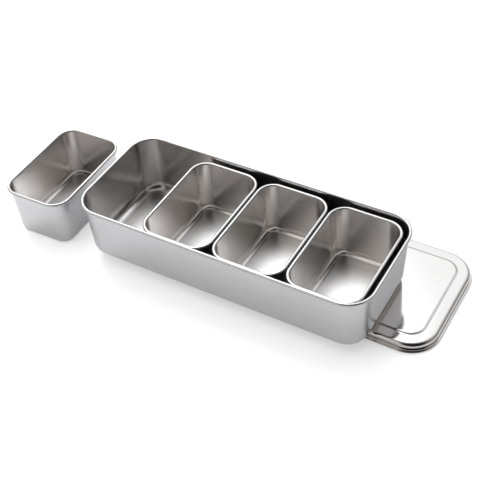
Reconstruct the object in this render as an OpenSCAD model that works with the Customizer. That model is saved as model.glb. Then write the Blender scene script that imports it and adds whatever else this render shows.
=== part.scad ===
// Stainless condiment caddy: a deep-drawn tray for a row of four small pans, with a lift-off lid.
// One pan stands beside the tray, and the tray stands on its own lid.
// X runs along the tray, Y across it and Z up. The origin is the middle of the whole set's footprint.

/* [Sheet] */
// Thickness of the drawn steel sheet
sheet = 0.7; // [0.5:0.05:0.9]
// Height that each floor's middle is pressed up from its standing ring
floor_rise = 0.8; // [0.4:0.1:1.2]
// Width of the sloping step round each raised middle
step_w = 1.1; // [0.8:0.1:2]
// Part of a rolled rim that is left open underneath, in degrees
roll_open = 120; // [60:5:150]

/* [Pans] */
// Outer width of one pan across its rim, along the tray
pan_w = 68.8; // [55:0.2:90]
// Outer length of one pan across its rim, across the tray
pan_l = 106.5; // [80:0.5:140]
// Height of one pan
pan_h = 52.4; // [35:0.2:80]
// Corner radius of a pan at its rim
pan_r = 17; // [15:0.5:24]
// Diameter of a pan's rolled rim
pan_rim = 3; // [2.4:0.1:4]
// Outer radius where a pan's walls turn into its floor
pan_fillet = 5; // [3:0.5:6]
// Distance from the rim's outer edge to the flat ring that a pan stands on
pan_foot = 9.6; // [8:0.1:12]
// Width of a pan's flat standing ring
pan_ring = 0.6; // [0.4:0.1:3]

/* [Tray] */
// Room left along the row when all four pans are in the tray
row_slack = 2.1; // [1:0.1:8]
// Gap between the pans' rims and the tray's front and back walls
side_gap = 2.4; // [1:0.1:6]
// Height of the tray's rim over the pans' rims
headroom = 4.1; // [1:0.1:15]
// Corner radius of the tray at its rim
tray_r = 25; // [22:0.5:32]
// Diameter of the tray's rolled rim
tray_rim = 3.1; // [2.4:0.1:4]
// Outer radius where the tray's walls turn into its floor
tray_fillet = 9; // [5:0.5:10]
// Distance from the rim's outer edge to the flat ring that the tray stands on
tray_foot = 13.7; // [12:0.1:16]
// Width of the tray's flat standing ring
tray_ring = 1; // [0.5:0.1:4]

/* [Lid] */
// Height of the lid's skirt, from its lower edge to its top border
lid_h = 8.9; // [7:0.1:14]
// Gap all round between the tray's rim and the lid's skirt when the lid is on
lid_gap = 0.6; // [0.3:0.1:1.5]
// Outer radius where the lid's top turns into its skirt
lid_round = 2; // [1:0.1:3]
// Reach of the folded hem at the skirt's lower edge
hem_w = 1.5; // [1:0.1:3]
// Width of the lid's flat top border, from the skirt to the foot of the raised panel
lid_border = 11.5; // [6:0.5:16]
// Height of the lid's raised panel over its border
lid_rise = 0.7; // [0.4:0.1:1.2]

/* [Arrangement] */
// Gap between the rims of neighbouring pans in the tray
pan_gap = 1.2; // [0.5:0.1:2]
// Gap between the last pan's rim and the tray's end wall
end_gap = 5; // [1:0.1:8]
// How far the row of pans lies to the front of the tray's middle
pan_shift = 0.7; // [0:0.1:0.8]
// Gap between the tray's rim and the pan that stands beside it
free_gap = 18; // [6:0.5:60]
// How far the pan beside the tray stands to the front of the tray's middle
free_shift = 2.5; // [-40:0.5:40]
// Turn of the pan beside the tray, in degrees
free_turn = 1.2; // [-5:0.1:5]
// Shift of the lid under the tray, along X from the tray's middle
lid_x = 43.3; // [0:0.1:60]
// Shift of the lid under the tray, to the back of the tray's middle
lid_y = 34.2; // [0:0.1:40]
// Turn of the lid, in degrees
lid_turn = -0.5; // [-3:0.1:3]

/* [Hidden] */
$fn = 64;
// Straight steps in a rounded turn and in a rolled rim
turn_steps = 6;
roll_steps = 16;
// Flat strip of a raised middle that is swept with the sheet round it
strip_w = 1;

// Tray sizes that follow the row of pans
row_count = 4;
tray_l = row_count * pan_w + row_slack + 2 * tray_rim;
tray_w = pan_l + 2 * side_gap + 2 * tray_rim;
tray_h = floor_rise + sheet + pan_h + headroom;

// Lid sizes that follow the tray
lid_l = tray_l + 2 * (lid_gap + sheet);
lid_w = tray_w + 2 * (lid_gap + sheet);
lid_r = tray_r + lid_gap + sheet;
hem_h = 2 * sheet;

// Heights at which the tray and its pans stand
tray_z = lid_h + lid_rise;
pan_z = tray_z + floor_rise + sheet;

// Places of the pans; pans 2 to 4 are in the tray, and pan 1 stands beside it
last_pan_x = tray_l / 2 - tray_rim - end_gap - pan_w / 2;
function pan_x(n) = last_pan_x - (row_count - n) * (pan_w + pan_gap);

// Half the room that a turned rounded rectangle takes along X and along Y
function half_x(l, w, r, turn) = (l / 2 - r) * abs(cos(turn)) + (w / 2 - r) * abs(sin(turn)) + r;
function half_y(l, w, r, turn) = (l / 2 - r) * abs(sin(turn)) + (w / 2 - r) * abs(cos(turn)) + r;
free_half_x = half_x(pan_w, pan_l, pan_r, free_turn);
free_half_y = half_y(pan_w, pan_l, pan_r, free_turn);
lid_half_x = half_x(lid_l + 2 * hem_w, lid_w + 2 * hem_w, lid_r + hem_w, lid_turn);
lid_half_y = half_y(lid_l + 2 * hem_w, lid_w + 2 * hem_w, lid_r + hem_w, lid_turn);
free_x = -tray_l / 2 - free_gap - free_half_x;

// Middle of the whole set's footprint, from the tray's middle
mid_x = (free_x - free_half_x + max(tray_l / 2, lid_x + lid_half_x)) / 2;
front_y = min(-tray_w / 2, -free_shift - free_half_y, lid_y - lid_half_y);
back_y = max(tray_w / 2, -free_shift + free_half_y, lid_y + lid_half_y);
mid_y = (front_y + back_y) / 2;

// Copies what is drawn in the quarter where X and Y are positive to the other three quarters
module four_quarters() {
    for (m = [0, 1], n = [0, 1]) mirror([m, 0]) mirror([0, n]) children();
}

// Flat rounded rectangle, centred; its corners of radius r have their centres x and y from the middle
module outline(x, y, r) {
    four_quarters() {
        square([x, y]);
        translate([x, 0]) square([r, y]);
        translate([0, y]) square([x, r]);
        translate([x, y]) circle(r);
    }
}

// Sweeps a section round a rounded rectangle, given as for the flat one. In the section, X is 0 on
// the rectangle's edge and negative inside it, and Y is the height.
module sweep_round(x, y, r) {
    four_quarters() {
        translate([x, y]) rotate([90, 0, 0]) linear_extrude(y) translate([r, 0]) children();
        translate([0, y]) rotate([90, 0, 90]) linear_extrude(x) translate([r, 0]) children();
        translate([x, y]) rotate_extrude(angle = 90) translate([r, 0]) children();
    }
}

// Points of an arc about c, from the angle a to the angle b
function arc(c, r, a, b, steps) =
    [for (i = [0:steps]) let (t = a + (b - a) * i / steps) c + r * [cos(t), sin(t)]];

// Point p turned clockwise about the origin
function lean_over(p, lean) =
    [p[0] * cos(lean) + p[1] * sin(lean), p[1] * cos(lean) - p[0] * sin(lean)];

// Length of a wall's straight part, from the rounded turn at its foot to the rolled rim
function wall_run(h, rim, foot, fillet) =
    sqrt(pow(foot - rim / 2, 2) + pow(h - rim / 2 - fillet, 2) - pow(fillet - sheet + rim / 2, 2));

// Lean of a wall from upright, in degrees
function wall_lean(h, rim, foot, fillet) =
    atan2(wall_run(h, rim, foot, fillet), fillet - sheet + rim / 2)
    - atan2(h - rim / 2 - fillet, foot - rim / 2);

// Sheet edge of a pressed step: from the flat border at [x, z] up the slope and over the flat strip
function step_path(x, z, rise) =
    [[x, z], [x - step_w, z + rise], [x - step_w - strip_w, z + rise]];

function backwards(points) = [for (i = [len(points) - 1:-1:0]) points[i]];

// Section of a drawn box: a raised middle's strip, a sloping step, a flat ring, a rounded turn, a
// leaning wall and a rolled rim. The rim's outer edge is at X = 0 and the ring's underside at Y = 0.
module box_section(h, rim, foot, fillet, ring) {
    lean = wall_lean(h, rim, foot, fillet);
    inner = fillet - sheet;
    roll = rim / 2;
    roll_mid = [inner + roll, wall_run(h, rim, foot, fillet)];
    upright = concat(
        arc([0, 0], fillet, lean - 90, 0, turn_steps),
        arc(roll_mid, roll - sheet, 180, roll_open - 180, roll_steps),
        arc(roll_mid, roll, roll_open - 180, 180, roll_steps),
        arc([0, 0], inner, 0, lean - 90, turn_steps)
    );
    polygon(concat(
        backwards(step_path(-foot - ring, 0, floor_rise)),
        [for (p = upright) [-foot, fillet] + lean_over(p, lean)],
        step_path(-foot - ring, sheet, floor_rise)
    ));
}

// Open drawn box with a rolled rim and a raised middle in its floor
module drawn_box(l, w, h, r, rim, foot, fillet, ring) {
    x = l / 2 - r;
    y = w / 2 - r;
    sweep_round(x, y, r) box_section(h, rim, foot, fillet, ring);
    translate([0, 0, floor_rise]) linear_extrude(sheet)
        outline(x, y, r - foot - ring - step_w - strip_w / 2);
}

module pan() {
    drawn_box(pan_w, pan_l, pan_h, pan_r, pan_rim, pan_foot, pan_fillet, pan_ring);
}

module pan_in_row(n) {
    translate([pan_x(n) - mid_x, -pan_shift - mid_y, pan_z]) pan();
}

module tray() {
    color("gainsboro") translate([-mid_x, -mid_y, tray_z])
        drawn_box(tray_l, tray_w, tray_h, tray_r, tray_rim, tray_foot, tray_fillet, tray_ring);
}

module lid() {
    x = lid_l / 2 - lid_r;
    y = lid_w / 2 - lid_r;
    color("whitesmoke") translate([lid_x - mid_x, lid_y - mid_y]) rotate(lid_turn) {
        sweep_round(x, y, lid_r) lid_section();
        translate([0, 0, lid_h - sheet + lid_rise]) linear_extrude(sheet)
            outline(x, y, lid_r - lid_border - step_w - strip_w / 2);
    }
}

// Section of the lid: a raised panel's strip, a sloping step, a flat border, a rounded turn, an
// upright skirt and a folded hem. The skirt's outer face is at X = 0 and the hem's foot at Y = 0.
module lid_section() {
    turn_mid = [-lid_round, lid_h - lid_round];
    polygon(concat(
        backwards(step_path(-lid_border, lid_h - sheet, lid_rise)),
        arc(turn_mid, lid_round - sheet, 90, 0, turn_steps),
        [[-sheet, 0], [hem_w, 0], [hem_w, hem_h], [0, hem_h]],
        arc(turn_mid, lid_round, 0, 90, turn_steps),
        step_path(-lid_border, lid_h, lid_rise)
    ));
}

module pan_1() {
    color("gainsboro") translate([free_x - mid_x, -free_shift - mid_y]) rotate(free_turn) pan();
}

module pan_2() {
    color("silver") pan_in_row(2);
}

module pan_3() {
    color("lightgray") pan_in_row(3);
}

module pan_4() {
    color("silver") pan_in_row(4);
}

tray();
lid();
pan_1();
pan_2();
pan_3();
pan_4();
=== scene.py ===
# Looks of the stainless condiment caddy: tray, four pans and lid, in a soft white studio
import math

import bpy
import bmesh
from mathutils import Matrix, Vector


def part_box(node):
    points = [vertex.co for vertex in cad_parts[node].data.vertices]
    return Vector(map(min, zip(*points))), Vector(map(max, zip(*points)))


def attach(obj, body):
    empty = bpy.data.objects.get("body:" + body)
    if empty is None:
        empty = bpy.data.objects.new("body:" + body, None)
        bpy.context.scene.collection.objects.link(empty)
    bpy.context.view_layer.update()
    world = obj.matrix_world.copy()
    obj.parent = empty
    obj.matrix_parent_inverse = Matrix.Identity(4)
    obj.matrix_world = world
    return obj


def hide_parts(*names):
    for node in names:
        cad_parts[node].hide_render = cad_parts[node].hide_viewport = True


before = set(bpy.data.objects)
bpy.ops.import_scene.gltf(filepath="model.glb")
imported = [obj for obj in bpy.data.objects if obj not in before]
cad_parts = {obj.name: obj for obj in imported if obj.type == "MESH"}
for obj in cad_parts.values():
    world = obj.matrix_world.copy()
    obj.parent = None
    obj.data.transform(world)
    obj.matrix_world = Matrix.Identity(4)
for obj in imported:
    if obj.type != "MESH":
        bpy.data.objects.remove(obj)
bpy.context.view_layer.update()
MM = 0.001

# Shapes are in millimetres and degrees. They have the part's own sizes, apart from the flattened tops of
# the rims and the lid's shoulder, neck, border, step and bent hem.

# Drawn sheet: its thickness, and the height that the floors' middles are pressed up
SHEET = 0.7
FLOOR_RISE = 0.8

# Slope round a raised middle: its width in the boxes and on the lid, and how far past that width its soft
# ends reach, and the path's flat ends before and after it
STEP_W = 1.1
LID_STEP_W = 2.2
STEP_EASE = 0.2
STEP_BEFORE = 0.4
STEP_AFTER = 0.5

# Rolled rim: the angle left open underneath, and the power of its flattened top, where 2 is a circle
ROLL_OPEN = 120
RIM_POWER = 2.5

# Boxes: length along X and width along Y over the rim, height, corner radius at the rim, diameter of the
# rolled rim, inset of the foot, radius where wall turns into floor, width of the standing ring
PAN = dict(l=68.8, w=106.5, h=52.4, r=17, rim=3, foot=9.6, fillet=5, ring=0.6)
TRAY = dict(l=283.5, w=117.5, h=58, r=25, rim=3.1, foot=13.7, fillet=9, ring=1)

# Lid: length and width over the skirt, height of the border, corner radius, radius of the rounded
# shoulder, reach of the folded hem, depth of the neck in the skirt, width of the border, rise of the panel
LID = dict(l=286.1, w=120.1, h=8.9, r=26.3, shoulder=3.4, hem=1.5, neck=0.5, border=11.2, rise=0.7)

# Lid's neck: where it has just begun, its inset and its depth under the shoulder, then the depth where it
# is full, and the height where it ends
NECK_HINT = 0.1
NECK_START = 0.8
NECK_FULL = 1.6
NECK_FOOT = 2.1

# Lid's hem: how much tighter its bend is than the sheet is thick, and points of inset and height, down the
# inside to the edge that the lid stands on, and from the bend up to the neck
HEM_SQUEEZE = 0.05
HEM_INSIDE = [(SHEET, 0.9), (SHEET - HEM_SQUEEZE, 0.15), (0.4, 0)]
HEM_TOP = [(-0.35, 2 * SHEET - HEM_SQUEEZE), (0.1, 2 * SHEET), (0.4, 1.7)]

# Turns of the pan beside the tray and of the lid
FREE_TURN = 1.2
LID_TURN = -0.5

# Fineness of the meshes: steps in a quarter corner, in a rounded turn, in a rolled rim and in a slope
CORNER_STEPS = 20
TURN_STEPS = 10
ROLL_STEPS = 18
SLOPE_STEPS = 6

# Steels: tones of the polishing lines, least and greatest roughness on the walls, roughness on the flats,
# and how strongly the lines stand out. The boxes are one sheet in three tones: inside painted lighter and
# warmer, outside painted shade, rims painted darker shade that dims their highlights.
INNER_STEEL_PAINTED_LIGHTER = dict(dark=(0.67, 0.655, 0.645), light=(0.77, 0.755, 0.745), smooth=0.2, rough=0.25,
                   flat=0.4, grain=0.4)
OUTER_STEEL_PAINTED_SHADE = dict(dark=(0.55, 0.545, 0.55), light=(0.61, 0.605, 0.61), smooth=0.28, rough=0.34,
                   flat=0.3, grain=0.5)
RIM_STEEL_PAINTED_SHADE = dict(dark=(0.40, 0.40, 0.40), light=(0.44, 0.44, 0.44), smooth=0.2, rough=0.25,
                 flat=0.22, grain=0.3)
LID_STEEL = dict(dark=(0.50, 0.49, 0.48), light=(0.53, 0.52, 0.51), smooth=0.08, rough=0.13,
                 flat=0.1, grain=0.15)

# Noise in the steels, as its scale in a metre along X, Y and Z, and its detail
GRAIN_WALLS = (30, 30, 1100)
GRAIN_FLATS = (30, 1100, 30)
GRAIN_DETAIL = 2
PATCHES = (18, 18, 18)
PATCH_DETAIL = 1
WAVES = (16, 16, 9.6)
WAVE_DETAIL = 0

# Values of the noise that are spread over the whole range from dark to light, or from smooth to rough
NOISE_LOW = 0.15
NOISE_HIGH = 0.85

# Bumps: strength of the sheet's waves, and heights of the waves and of the polishing lines, in metres
WAVE_STRENGTH = 0.2
WAVE_HEIGHT = 0.0003
GRAIN_HEIGHT = 0.00002

# Upright part of a surface's normal, from which it starts to count as a flat
FLAT_FROM = 0.93

# Paper floor: its side in metres, its colour, and its glow for the camera and for the metal
FLOOR_SIDE = 8
PAPER_TONE = (0.87, 0.88, 0.9)
FLOOR_GLOW = 0.4
MIRRORED_GLOW = 0.12

# Room that the metal mirrors: one tone all round, and soft lobes laid over it. A lobe starts at one cosine
# from the direction of its middle and is full at another.
ROOM_TONE = (0.74, 0.70, 0.655)
LEFT_SIDE = dict(toward=(-0.85, 0.1, 0.5), start=-0.1, full=0.7, tone=(1.12, 1.08, 1.04))
RIGHT_SIDE = dict(toward=(0.85, -0.1, 0.5), start=0.2, full=0.8, tone=(0.47, 0.44, 0.405))
CEILING = dict(toward=(0.2, -0.2, 1.0), start=0.8, full=0.98, tone=(0.43, 0.41, 0.39))
BACK_GLOW = dict(toward=(0.1, 0.62, 0.78), start=0.92, full=0.97, tone=(1.15, 1.17, 1.22))
SOFTBOX = dict(toward=(-0.42, 0.56, 0.70), start=0.86, full=0.95, tone=(1.73, 1.75, 1.78))
SOFTBOX_CORE = dict(toward=(-0.42, 0.42, 0.82), start=0.94, full=1.0, tone=(6.3, 6.5, 6.7))
DARK_SIDE = dict(toward=(0.47, -0.55, 0.69), start=0.7, full=0.9, tone=(0.02, 0.02, 0.02))

# Lamp over the object: its place and side in metres, and its power in watts
LAMP_PLACE = Vector((-0.5, -0.3, 2))
LAMP_SIDE = 2.2
LAMP_WATTS = 15

# Camera: its place from the tray's middle on the table, in millimetres, where it looks and how it is
# rolled, in degrees, its focal length and the picture's side, in pixels, and the sensor's side, in
# millimetres. It sees what lies between the two last distances, in metres.
CAMERA_FROM_TRAY = Vector((329.0, -514.1, 619.3))
CAMERA_AZIMUTH = -32.89
CAMERA_ELEVATION = 43.74
CAMERA_ROLL = -4.58
FOCAL_PX = 954.3
PICTURE_PX = 480
SENSOR_MM = 36
CLIP_NEAR = 0.01
CLIP_FAR = 50


def arc(cx, cy, radius, a, b, steps):
    """Points of an arc from angle a to angle b, in degrees, both ends included."""
    angles = [math.radians(a + (b - a) * i / steps) for i in range(steps + 1)]
    return [(cx + radius * math.cos(t), cy + radius * math.sin(t)) for t in angles]


def outline(l, w, r, z):
    """Rounded rectangle of l along X and w along Y, as points in millimetres."""
    points = []
    for sx, sy, start in ((1, 1, 0), (-1, 1, 90), (-1, -1, 180), (1, -1, 270)):
        cx, cy = sx * (l / 2 - r), sy * (w / 2 - r)
        points += [(x, y, z) for x, y in arc(cx, cy, r, start, start + 90, CORNER_STEPS)]
    return points


def rings_along(path, size):
    """Rounded rectangles of a piece, one for each inset from its outer size and height of a path."""
    return [
        outline(size["l"] - 2 * inset, size["w"] - 2 * inset, size["r"] - inset, z)
        for inset, z in path
    ]


def foot_of(node):
    """Middle of a CAD node's footprint, at the node's lowest height."""
    low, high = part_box(node)
    return Vector(((low.x + high.x) / 2, (low.y + high.y) / 2, low.z))


def loft(name, rings, node, turn=0, outside=0, rim=0):
    """Closed mesh through rings of equal point counts, standing where the CAD node stands.

    The base and the faces up to the ring called outside take the second material, and the faces
    from there to the ring called rim take the third.
    """
    place = Matrix.Translation(foot_of(node)) @ Matrix.Rotation(math.radians(turn), 4, "Z")
    bm = bmesh.new()
    loops = [[bm.verts.new(place @ (Vector(p) * MM)) for p in ring] for ring in rings]
    for step, (a, b) in enumerate(zip(loops, loops[1:])):
        for i in range(len(a)):
            j = (i + 1) % len(a)
            face = bm.faces.new((a[i], a[j], b[j], b[i]))
            face.material_index = 1 if step < outside else 2 if step < rim else 0
    bm.faces.new(loops[0]).material_index = 1 if outside else 0
    bm.faces.new(loops[-1])
    bmesh.ops.recalc_face_normals(bm, faces=bm.faces)
    for face in bm.faces:
        face.smooth = True
    mesh = bpy.data.meshes.new(name)
    bm.to_mesh(mesh)
    bm.free()
    obj = bpy.data.objects.new(name, mesh)
    bpy.context.scene.collection.objects.link(obj)
    return obj


def pressed_step(start, z, rise, width=STEP_W):
    """Soft slope of a pressed sheet, from a flat at z up to the raised middle: inset and height."""
    points = [(start - STEP_BEFORE, z)]
    for i in range(SLOPE_STEPS + 1):
        t = i / SLOPE_STEPS
        inset = start - STEP_EASE + t * (width + 2 * STEP_EASE)
        points.append((inset, z + rise * t * t * (3 - 2 * t)))
    return points + [(start + width + STEP_AFTER, z + rise)]


def flat_top(inset, z, h, roll):
    """Point of a wall's path, pushed outwards where it is in the upper half of the rolled rim.

    The rim's top is at the height h, and roll is the radius of the roll.
    """
    across, above = inset - roll, z - (h - roll)
    if above <= 0:
        return inset, z
    size = math.hypot(across, above)
    powers = abs(across / size) ** RIM_POWER + (above / size) ** RIM_POWER
    stretch = powers ** (-1 / RIM_POWER)
    return roll + across * stretch, h - roll + above * stretch


def wall_paths(h, rim, foot, fillet):
    """Outer and inner path of a drawn wall, each from its foot up: inset from the rim and height."""
    roll, inner = rim / 2, fillet - SHEET
    run = math.sqrt((foot - roll) ** 2 + (h - roll - fillet) ** 2 - (inner + roll) ** 2)
    lean = math.atan2(run, inner + roll) - math.atan2(h - roll - fillet, foot - roll)
    turn_from = math.degrees(lean) - 90

    def wall_path(turn_radius, roll_radius):
        path = []
        upright = arc(0, 0, turn_radius, turn_from, 0, TURN_STEPS)
        upright += arc(inner + roll, run, roll_radius, 180, ROLL_OPEN - 180, ROLL_STEPS)
        for x, y in upright:
            inset = foot - x * math.cos(lean) - y * math.sin(lean)
            z = fillet + y * math.cos(lean) - x * math.sin(lean)
            path.append(flat_top(inset, z, h, roll))
        return path

    return wall_path(fillet, roll - SHEET), wall_path(inner, roll)


def drawn_box(name, node, size, turn=0):
    """Open sheet box with a rolled rim and a pressed floor."""
    outer, inner = wall_paths(size["h"], size["rim"], size["foot"], size["fillet"])
    start = size["foot"] + size["ring"]
    path = list(reversed(pressed_step(start, 0, FLOOR_RISE))) + outer
    outside = len(path) - 1
    path += list(reversed(inner)) + pressed_step(start, SHEET, FLOOR_RISE)
    return loft(name, rings_along(path, size), node, turn, outside, outside + ROLL_STEPS)


def lid_sheet(name, node, size, turn=0):
    """Shallow lid: a hem folded outwards, a neck in its skirt, a rounded shoulder, a raised panel."""
    h, shoulder, neck = size["h"], size["shoulder"], size["neck"]
    border, rise = size["border"], size["rise"]
    low = h - shoulder
    neck_line = [(NECK_HINT, low - NECK_START), (neck, low - NECK_FULL), (neck, NECK_FOOT)]
    path = list(reversed(pressed_step(border, h - SHEET, rise, LID_STEP_W)))
    path += arc(shoulder, low, shoulder - SHEET, 90, 180, TURN_STEPS)
    path += [(SHEET + inset, z) for inset, z in neck_line]
    path += HEM_INSIDE
    bend = SHEET - HEM_SQUEEZE
    path += arc(bend - size["hem"], SHEET, bend, 270, 90, TURN_STEPS)
    path += HEM_TOP
    path += reversed(neck_line)
    path += arc(shoulder, low, shoulder, 180, 90, TURN_STEPS)
    path += pressed_step(border, h, rise, LID_STEP_W)
    return loft(name, rings_along(path, size), node, turn)


def node_maker(tree):
    """Clear a node tree and give a function that adds a node to it, with the node's settings."""
    tree.nodes.clear()

    def add(kind, **settings):
        node = tree.nodes.new(kind)
        for key, value in settings.items():
            setattr(node, key, value)
        return node

    return add


def new_material(name):
    """Empty node material: itself, its tree and a function that adds a node."""
    material = bpy.data.materials.new(name)
    material.use_nodes = True
    tree = material.node_tree
    return material, tree, node_maker(tree)


def soft_range(tree, add, value, start, end, low=0.0, high=1.0):
    """Number that goes softly from low to high while a value goes from start to end."""
    node = add("ShaderNodeMapRange", interpolation_type="SMOOTHSTEP")
    for name, number in (("From Min", start), ("From Max", end), ("To Min", low), ("To Max", high)):
        node.inputs[name].default_value = number
    tree.links.new(value, node.inputs["Value"])
    return node.outputs["Result"]


def mix(tree, add, kind, share, first, second):
    """What lies between the first and the second, by a share.

    The kind is FLOAT for numbers or RGBA for colours. Each of the two is a constant or a socket.
    """
    node = add("ShaderNodeMix", data_type=kind)
    tree.links.new(share, node.inputs["Factor"])
    for name, value in (("A", first), ("B", second)):
        if isinstance(value, bpy.types.NodeSocket):
            tree.links.new(value, node.inputs[name])
        elif kind == "RGBA":
            node.inputs[name].default_value = (*value, 1)
        else:
            node.inputs[name].default_value = value
    return node.outputs["Result"]


def noise(tree, add, scales, detail):
    """Noise over the object's own coordinates, with its own scale along each axis."""
    place = add("ShaderNodeTexCoord")
    mapping = add("ShaderNodeMapping")
    mapping.inputs["Scale"].default_value = scales
    tree.links.new(place.outputs["Object"], mapping.inputs["Vector"])
    texture = add("ShaderNodeTexNoise")
    texture.inputs["Scale"].default_value = 1
    texture.inputs["Detail"].default_value = detail
    tree.links.new(mapping.outputs["Vector"], texture.inputs["Vector"])
    return texture.outputs["Fac"]


def bump(tree, add, height, strength, distance, below=None):
    """Bump from a height value, over another bump where one is given."""
    node = add("ShaderNodeBump")
    node.inputs["Strength"].default_value = strength
    node.inputs["Distance"].default_value = distance
    tree.links.new(height, node.inputs["Height"])
    if below is not None:
        tree.links.new(below, node.inputs["Normal"])
    return node.outputs["Normal"]


def flatness(tree, add):
    """1 on level sheet, 0 on walls."""
    surface = add("ShaderNodeNewGeometry")
    parts = add("ShaderNodeSeparateXYZ")
    tree.links.new(surface.outputs["Normal"], parts.inputs["Vector"])
    level = add("ShaderNodeMath", operation="ABSOLUTE")
    tree.links.new(parts.outputs["Z"], level.inputs[0])
    return soft_range(tree, add, level.outputs["Value"], FLAT_FROM, 1.0)


def steel(name, dark, light, smooth, rough, flat, grain):
    """Drawn stainless sheet: fine polishing lines, slow changes of finish and slight waviness.

    The lines are level round the walls and lengthwise on the flats, which have a finish of their own.
    """
    material, tree, add = new_material(name)
    shader = add("ShaderNodeBsdfPrincipled")
    shader.inputs["Metallic"].default_value = 1.0
    level = flatness(tree, add)
    on_walls = noise(tree, add, GRAIN_WALLS, GRAIN_DETAIL)
    on_flats = noise(tree, add, GRAIN_FLATS, GRAIN_DETAIL)
    lines = mix(tree, add, "FLOAT", level, on_walls, on_flats)
    share = soft_range(tree, add, lines, NOISE_LOW, NOISE_HIGH)
    tree.links.new(mix(tree, add, "RGBA", share, dark, light), shader.inputs["Base Color"])
    patches = noise(tree, add, PATCHES, PATCH_DETAIL)
    finish = soft_range(tree, add, patches, NOISE_LOW, NOISE_HIGH, smooth, rough)
    tree.links.new(mix(tree, add, "FLOAT", level, finish, flat), shader.inputs["Roughness"])
    normal = bump(tree, add, noise(tree, add, WAVES, WAVE_DETAIL), WAVE_STRENGTH, WAVE_HEIGHT)
    normal = bump(tree, add, lines, grain, GRAIN_HEIGHT, normal)
    tree.links.new(normal, shader.inputs["Normal"])
    out = add("ShaderNodeOutputMaterial")
    tree.links.new(shader.outputs["BSDF"], out.inputs["Surface"])
    return material


def paper():
    """White studio paper that stays white in the picture and keeps soft shadows."""
    material, tree, add = new_material("paper")
    matt = add("ShaderNodeBsdfDiffuse")
    matt.inputs["Color"].default_value = (*PAPER_TONE, 1)
    path = add("ShaderNodeLightPath")
    mirrored = add("ShaderNodeMath", operation="MAXIMUM")
    tree.links.new(path.outputs["Is Glossy Ray"], mirrored.inputs[0])
    tree.links.new(path.outputs["Is Transmission Ray"], mirrored.inputs[1])
    dimmed = add("ShaderNodeMath", operation="MULTIPLY")
    dimmed.inputs[1].default_value = MIRRORED_GLOW
    tree.links.new(mirrored.outputs["Value"], dimmed.inputs[0])
    strength = add("ShaderNodeMath", operation="MULTIPLY_ADD")
    strength.inputs[1].default_value = FLOOR_GLOW
    tree.links.new(path.outputs["Is Camera Ray"], strength.inputs[0])
    tree.links.new(dimmed.outputs["Value"], strength.inputs[2])
    glow = add("ShaderNodeEmission")
    glow.inputs["Color"].default_value = (1, 1, 1, 1)
    tree.links.new(strength.outputs["Value"], glow.inputs["Strength"])
    both = add("ShaderNodeAddShader")
    tree.links.new(matt.outputs["BSDF"], both.inputs[0])
    tree.links.new(glow.outputs["Emission"], both.inputs[1])
    out = add("ShaderNodeOutputMaterial")
    tree.links.new(both.outputs["Shader"], out.inputs["Surface"])
    return material


def facing(tree, add, toward, start, full):
    """0 to 1 as a direction of the world turns from an edge towards the middle of a lobe."""
    place = add("ShaderNodeTexCoord")
    along = add("ShaderNodeVectorMath", operation="DOT_PRODUCT")
    along.inputs[1].default_value = Vector(toward).normalized()
    tree.links.new(place.outputs["Generated"], along.inputs[0])
    return soft_range(tree, add, along.outputs["Value"], start, full)


def studio_world():
    """Room as the metal mirrors it: soft light behind on the left, darker right and camera side.

    The camera itself sees it white.
    """
    world = bpy.data.worlds.new("studio")
    bpy.context.scene.world = world
    world.use_nodes = True
    tree = world.node_tree
    add = node_maker(tree)
    colour = ROOM_TONE
    for lobe in (LEFT_SIDE, RIGHT_SIDE, CEILING, BACK_GLOW, SOFTBOX, SOFTBOX_CORE, DARK_SIDE):
        share = facing(tree, add, lobe["toward"], lobe["start"], lobe["full"])
        colour = mix(tree, add, "RGBA", share, colour, lobe["tone"])
    path = add("ShaderNodeLightPath")
    colour = mix(tree, add, "RGBA", path.outputs["Is Camera Ray"], colour, (1, 1, 1))
    back = add("ShaderNodeBackground")
    back.inputs["Strength"].default_value = 1
    tree.links.new(colour, back.inputs["Color"])
    out = add("ShaderNodeOutputWorld")
    tree.links.new(back.outputs["Background"], out.inputs["Surface"])


def paper_floor():
    """Large sheet of paper under the object."""
    bpy.ops.mesh.primitive_plane_add(size=FLOOR_SIDE)
    floor = bpy.context.active_object
    floor.name = "studio_floor"
    floor.data.materials.append(paper())


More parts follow.
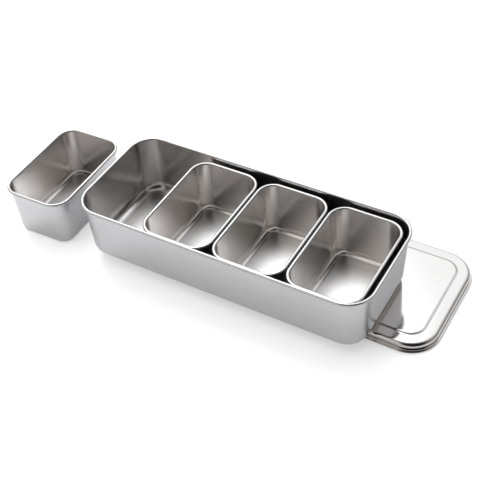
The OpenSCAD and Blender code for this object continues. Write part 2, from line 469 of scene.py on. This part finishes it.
def overhead_lamp():
    """Square area lamp that looks at the origin and isn't mirrored in the metal."""
    data = bpy.data.lights.new("overhead", "AREA")
    data.shape = "SQUARE"
    data.size = LAMP_SIDE
    data.energy = LAMP_WATTS
    lamp = bpy.data.objects.new("overhead", data)
    lamp.location = LAMP_PLACE
    lamp.rotation_euler = (-LAMP_PLACE).to_track_quat("-Z", "Y").to_euler()
    lamp.visible_glossy = False
    bpy.context.scene.collection.objects.link(lamp)


def camera():
    """The photograph's camera."""
    foot = foot_of("tray")
    foot.z = 0
    azimuth, rise = math.radians(CAMERA_AZIMUTH), math.radians(CAMERA_ELEVATION)
    roll = math.radians(CAMERA_ROLL)
    ahead = Vector((math.sin(azimuth) * math.cos(rise), math.cos(azimuth) * math.cos(rise),
                    -math.sin(rise)))
    right = ahead.cross(Vector((0, 0, 1))).normalized()
    up = right.cross(ahead)
    side = right * math.cos(roll) + up * math.sin(roll)
    top = up * math.cos(roll) - right * math.sin(roll)
    data = bpy.data.cameras.new("photo_camera")
    data.sensor_width = SENSOR_MM
    data.lens = FOCAL_PX * SENSOR_MM / PICTURE_PX
    data.clip_start = CLIP_NEAR
    data.clip_end = CLIP_FAR
    obj = bpy.data.objects.new("photo_camera", data)
    turn = Matrix((side, top, -ahead)).transposed().to_4x4()
    obj.matrix_world = Matrix.Translation(foot + CAMERA_FROM_TRAY * MM) @ turn
    bpy.context.scene.collection.objects.link(obj)
    bpy.context.scene.camera = obj


def dress(obj, node, materials):
    """Materials and body of one piece, with its CAD node hidden."""
    for material in materials:
        obj.data.materials.append(material)
    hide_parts(node)
    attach(obj, node)


# One sheet in three tones: painted lighter inside, painted shade outside and on the rolled rims.
box_steels = [
    steel("inner_steel_painted_lighter", **INNER_STEEL_PAINTED_LIGHTER),
    steel("outer_steel_painted_shade", **OUTER_STEEL_PAINTED_SHADE),
    steel("rim_steel_painted_shade", **RIM_STEEL_PAINTED_SHADE),
]
lid_steels = [steel("lid_steel", **LID_STEEL)]

dress(drawn_box("tray_sheet", "tray", TRAY), "tray", box_steels)
dress(lid_sheet("lid_sheet", "lid", LID, LID_TURN), "lid", lid_steels)
for pan, turn in (("pan_1", FREE_TURN), ("pan_2", 0), ("pan_3", 0), ("pan_4", 0)):
    dress(drawn_box(pan + "_sheet", pan, PAN, turn), pan, box_steels)

studio_world()
paper_floor()
overhead_lamp()
camera()

scene = bpy.context.scene
scene.view_settings.view_transform = "Standard"
